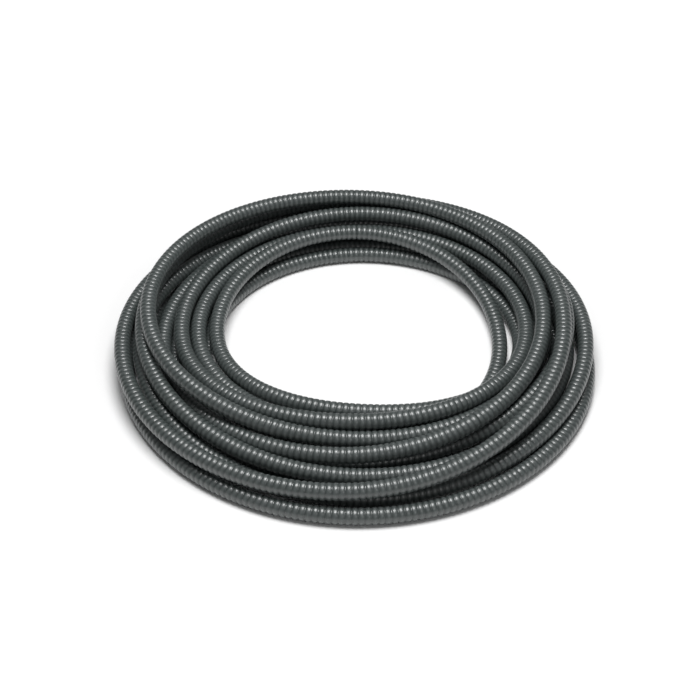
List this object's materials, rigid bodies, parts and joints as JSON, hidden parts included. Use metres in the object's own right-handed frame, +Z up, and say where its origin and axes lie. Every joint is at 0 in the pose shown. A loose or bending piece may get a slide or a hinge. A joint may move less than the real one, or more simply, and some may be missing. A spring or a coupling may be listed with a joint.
{
  "type": "coiled ribbed hose",
  "caption": "Long flexible hose with shallow ring ribs and a smooth bore, laid flat in a loose round coil with open cut ends",
  "frame": {"origin": "On the ground under the middle of the coil", "axes": "+Z up, +X to the right and -Y to the front of the view in which the coil was seen"},
  "size_m": [0.7492, 0.7751, 0.1063],
  "materials": {
    "hose": "semi-matte"
  },
  "bodies": {
    "root": {"hose_coil": "hose", "hose_outer_end": "hose", "hose_inner_end": "hose"}
  },
  "joints": []
}
